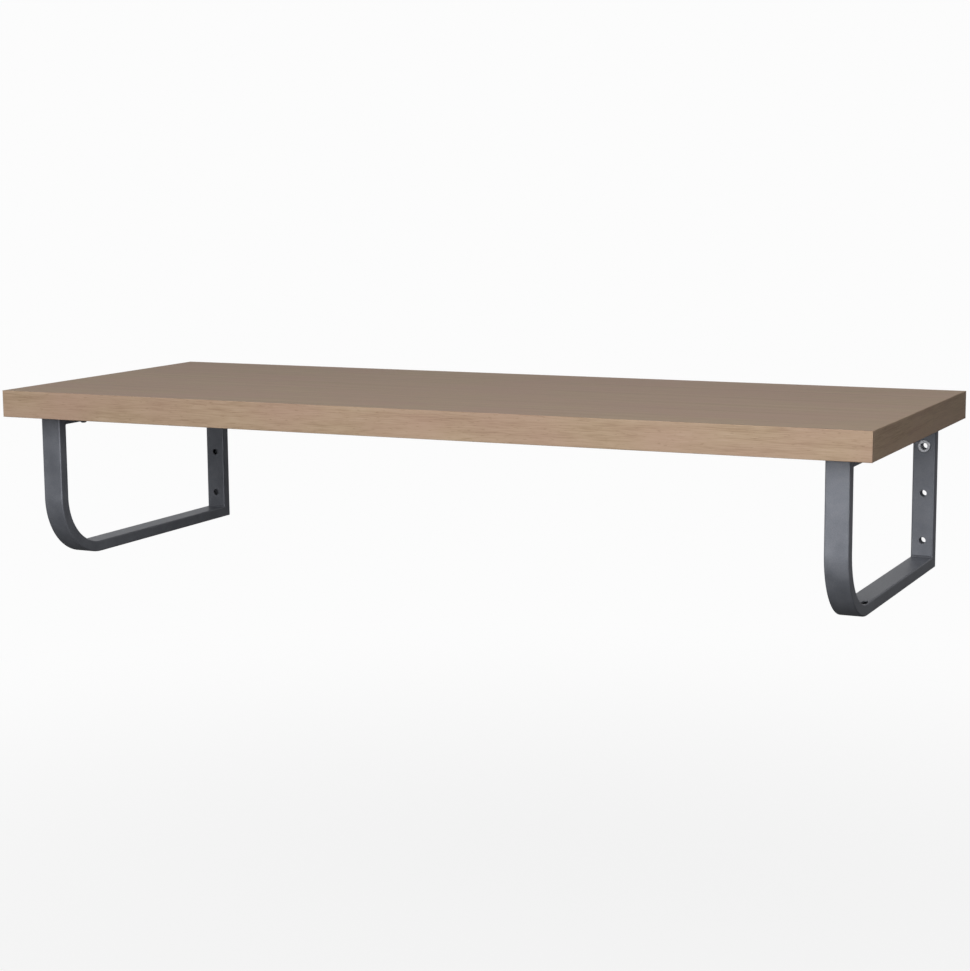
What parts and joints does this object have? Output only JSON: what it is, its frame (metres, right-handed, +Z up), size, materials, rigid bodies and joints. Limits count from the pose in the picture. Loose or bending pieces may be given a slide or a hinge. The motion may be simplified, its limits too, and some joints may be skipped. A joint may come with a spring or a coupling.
{
  "type": "wall shelf",
  "caption": "Thick veneered wood board on two welded steel tube loop brackets whose bottom bars double as towel rails.",
  "frame": {"origin": "middle of the board's rear edge face, on the wall plane, half way up the board's thickness", "axes": "+X along the board to the right as seen from the room, +Y into the wall, +Z up"},
  "size_m": [1.2, 0.46, 0.2363],
  "materials": {
    "oak_veneer": "satin lacquered oak veneer, grain along the board",
    "oak_edge_band": "satin oak edge banding, grain along the edge",
    "chipboard": "raw chipboard core",
    "anthracite_paint": "satin anthracite metallic powder coat",
    "zinc_plated_steel": "bright zinc plating"
  },
  "bodies": {
    "root": {"board_core": "chipboard", "board_top_veneer": "oak_veneer", "board_bottom_veneer": "oak_veneer", "board_front_edge_band": "oak_edge_band", "board_rear_edge_band": "oak_edge_band", "board_left_edge_band": "oak_edge_band", "board_right_edge_band": "oak_edge_band", "left_bent_tube": "anthracite_paint", "left_wall_tube": "anthracite_paint", "left_top_tube": "anthracite_paint", "left_front_top_weld": "anthracite_paint", "left_rear_top_weld": "anthracite_paint", "left_rear_bottom_weld": "anthracite_paint", "left_wall_bush": "zinc_plated_steel", "left_front_screw": "zinc_plated_steel", "left_rear_screw": "zinc_plated_steel", "right_bent_tube": "anthracite_paint", "right_wall_tube": "anthracite_paint", "right_top_tube": "anthracite_paint", "right_front_top_weld": "anthracite_paint", "right_rear_top_weld": "anthracite_paint", "right_rear_bottom_weld": "anthracite_paint", "right_wall_bush": "zinc_plated_steel", "right_front_screw": "zinc_plated_steel", "right_rear_screw": "zinc_plated_steel"}
  },
  "joints": []
}
